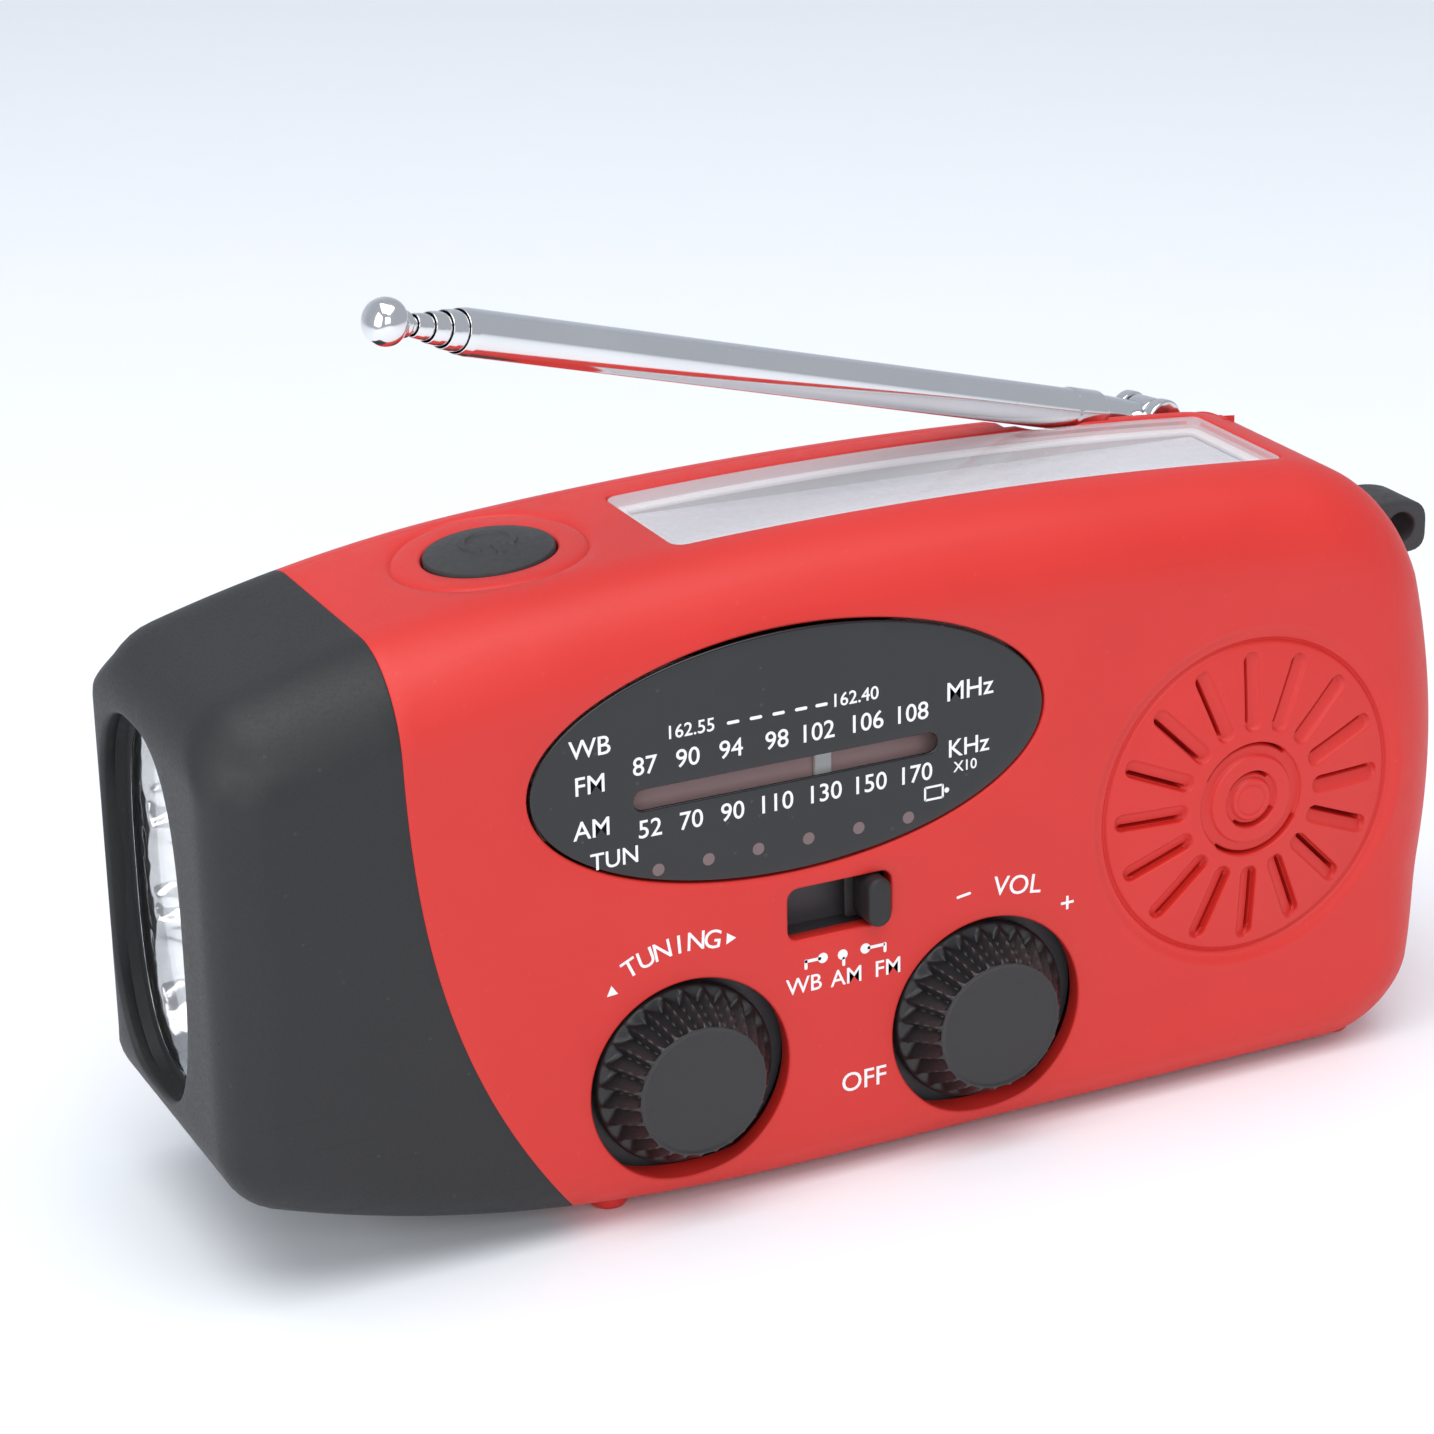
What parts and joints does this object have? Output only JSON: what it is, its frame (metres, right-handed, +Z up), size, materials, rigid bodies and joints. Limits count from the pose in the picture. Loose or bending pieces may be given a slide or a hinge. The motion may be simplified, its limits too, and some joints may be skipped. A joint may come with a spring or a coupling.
{
  "type": "emergency radio",
  "caption": "Hand-crank and solar emergency radio in a red case with a black torch head, round speaker grille, tuning dial and telescopic antenna.",
  "frame": {"origin": "middle of the box that the radio fills, at the plane of its feet", "axes": "+X towards the loudspeaker end, away from the torch head; +Y out of the back, away from the dial; +Z up from the feet"},
  "size_m": [0.1298, 0.0452, 0.0881],
  "materials": {
    "red_shell": "soft-touch satin",
    "steel": "satin",
    "black_soft": "soft-touch",
    "black_rubber": "matt",
    "clear_plastic": "clear",
    "dial_gloss": "polished, back-printed",
    "chrome": "bright",
    "circuit_board": "solder mask",
    "solar_cells": "cells under milky resin",
    "printed_plate": "painted",
    "white_plastic": "moulded",
    "grey_plastic": "moulded",
    "brass": "turned",
    "copper": "enamelled copper wire",
    "ferrite": "sintered",
    "speaker_paper": "pressed paper",
    "battery_wrap": "shrink wrap"
  },
  "bodies": {
    "case": {"front_shell": "red_shell", "rear_shell": "red_shell", "case_screw_1": "steel", "case_screw_2": "steel", "case_screw_3": "steel", "case_screw_4": "steel", "torch_head": "black_soft", "torch_lens": "clear_plastic", "reflector": "chrome", "led_1": "clear_plastic", "led_2": "clear_plastic", "led_3": "clear_plastic", "led_board": "circuit_board", "torch_switch": "grey_plastic", "solar_cover": "clear_plastic", "solar_panel": "solar_cells", "dial_window": "dial_gloss", "dial_plate": "printed_plate", "dial_cord": "white_plastic", "tuning_capacitor": "white_plastic", "volume_pot": "steel", "band_switch_body": "grey_plastic", "speaker_frame": "steel", "speaker_cone": "speaker_paper", "speaker_magnet": "ferrite", "main_board": "circuit_board", "charge_board": "circuit_board", "ferrite_rod": "ferrite", "ferrite_coil": "copper", "battery_cell": "battery_wrap", "usb_socket": "steel", "micro_usb_socket": "steel", "strap_lug": "black_rubber", "alternator_body": "copper"},
    "tuning": {"tuning_knob": "black_soft", "dial_drum": "white_plastic"},
    "dial_pointer": {"pointer": "white_plastic"},
    "left_pulley": {"pulley_left": "brass"},
    "right_pulley": {"pulley_right": "brass"},
    "volume": {"volume_knob": "black_soft"},
    "band": {"band_slider": "black_soft"},
    "button": {"torch_button": "black_rubber"},
    "crank": {"crank_arm": "black_soft", "crank_screw": "steel", "crank_gear": "white_plastic", "grip_pin": "steel"},
    "idler": {"idler_gear": "white_plastic"},
    "rotor": {"alternator_rotor": "steel"},
    "grip_arm": {"grip_axle": "steel"},
    "grip": {"grip_sleeve": "black_soft"},
    "flap": {"port_cover": "black_rubber"},
    "antenna_foot": {"antenna_base": "chrome", "antenna_pin": "steel"},
    "antenna_1": {"antenna_tube_1": "chrome"},
    "antenna_2": {"antenna_tube_2": "chrome"},
    "antenna_3": {"antenna_tube_3": "chrome"},
    "antenna_4": {"antenna_tube_4": "chrome"},
    "antenna_end": {"antenna_tip": "chrome"}
  },
  "joints": [
    {"name": "antenna_swivel", "type": "hinge", "parent": "case", "child": "antenna_foot", "pos_m": [0.0424, 0.01, 0.0545], "axis": [0, 0, 1], "range_deg": [-107, 0]},
    {"name": "antenna_tilt", "type": "hinge", "parent": "antenna_foot", "child": "antenna_1", "pos_m": [0.0424, 0.01, 0.057], "axis": [-0.2924, 0.9563, 0], "range_deg": [0, 90]},
    {"name": "antenna_slide_1", "type": "slide", "parent": "antenna_1", "child": "antenna_2", "axis": [-0.9128, -0.2791, 0.2982], "range_m": [0, 0.07]},
    {"name": "antenna_slide_2", "type": "slide", "parent": "antenna_2", "child": "antenna_3", "axis": [-0.9128, -0.2791, 0.2982], "range_m": [0, 0.07]},
    {"name": "antenna_slide_3", "type": "slide", "parent": "antenna_3", "child": "antenna_4", "axis": [-0.9128, -0.2791, 0.2982], "range_m": [0, 0.07]},
    {"name": "antenna_slide_4", "type": "slide", "parent": "antenna_4", "child": "antenna_end", "axis": [-0.9128, -0.2791, 0.2982], "range_m": [0, 0.07]},
    {"name": "tuning_turn", "type": "hinge", "parent": "case", "child": "tuning", "pos_m": [-0.0219, -0.02, 0.0134], "axis": [0, 1, 0], "range_deg": [-152, 70]},
    {"name": "pointer_slide", "type": "slide", "parent": "case", "child": "dial_pointer", "axis": [1, 0, 0], "range_m": [-0.0186, 0.0087]},
    {"name": "pulley_left_turn", "type": "hinge", "parent": "case", "child": "left_pulley", "pos_m": [-0.0335, -0.0124, 0.0382], "axis": [0, 1, 0], "range_deg": [-360, 168]},
    {"name": "pulley_right_turn", "type": "hinge", "parent": "case", "child": "right_pulley", "pos_m": [0.0105, -0.0124, 0.0382], "axis": [0, 1, 0], "range_deg": [-360, 168]},
    {"name": "volume_turn", "type": "hinge", "parent": "case", "child": "volume", "pos_m": [0.0082, -0.02, 0.013], "axis": [0, 1, 0], "range_deg": [-150, 150]},
    {"name": "band_slide", "type": "slide", "parent": "case", "child": "band", "axis": [-1, 0, 0], "range_m": [0, 0.0066]},
    {"name": "torch_press", "type": "slide", "parent": "case", "child": "button", "axis": [0.0847, 0, -0.9964], "range_m": [0, 0.0009], "stiffness_N_per_m": 400, "springref_m": -0.001},
    {"name": "crank_turn", "type": "hinge", "parent": "case", "child": "crank", "pos_m": [0.03, 0.017, 0.031], "axis": [0, 1, 0], "continuous": true},
    {"name": "idler_turn", "type": "hinge", "parent": "case", "child": "idler", "pos_m": [0.01512, 0.008, 0.02559], "axis": [0, 1, 0], "continuous": true},
    {"name": "rotor_turn", "type": "hinge", "parent": "case", "child": "rotor", "pos_m": [0.00239, 0.003, 0.03294], "axis": [0, 1, 0], "continuous": true},
    {"name": "grip_fold", "type": "hinge", "parent": "crank", "child": "grip_arm", "pos_m": [-0.0103, 0.0192, 0.031], "axis": [0, 0, 1], "range_deg": [0, 90]},
    {"name": "grip_spin", "type": "hinge", "parent": "grip_arm", "child": "grip", "pos_m": [0.002, 0.0192, 0.031], "axis": [1, 0, 0], "continuous": true},
    {"name": "flap_swing", "type": "hinge", "parent": "case", "child": "flap", "pos_m": [0.0392, 0.0141, 0.0087], "axis": [-1, 0, 0], "range_deg": [0, 110]}
  ],
  "couplings": [
    {"joint": "pointer_slide", "follows": "tuning_turn", "m_per_rad": 0.00695},
    {"joint": "pulley_left_turn", "follows": "tuning_turn", "ratio": 2.3559},
    {"joint": "pulley_right_turn", "follows": "tuning_turn", "ratio": 2.3559},
    {"joint": "idler_turn", "follows": "crank_turn", "ratio": -3.2},
    {"joint": "rotor_turn", "follows": "crank_turn", "ratio": 10.667}
  ]
}
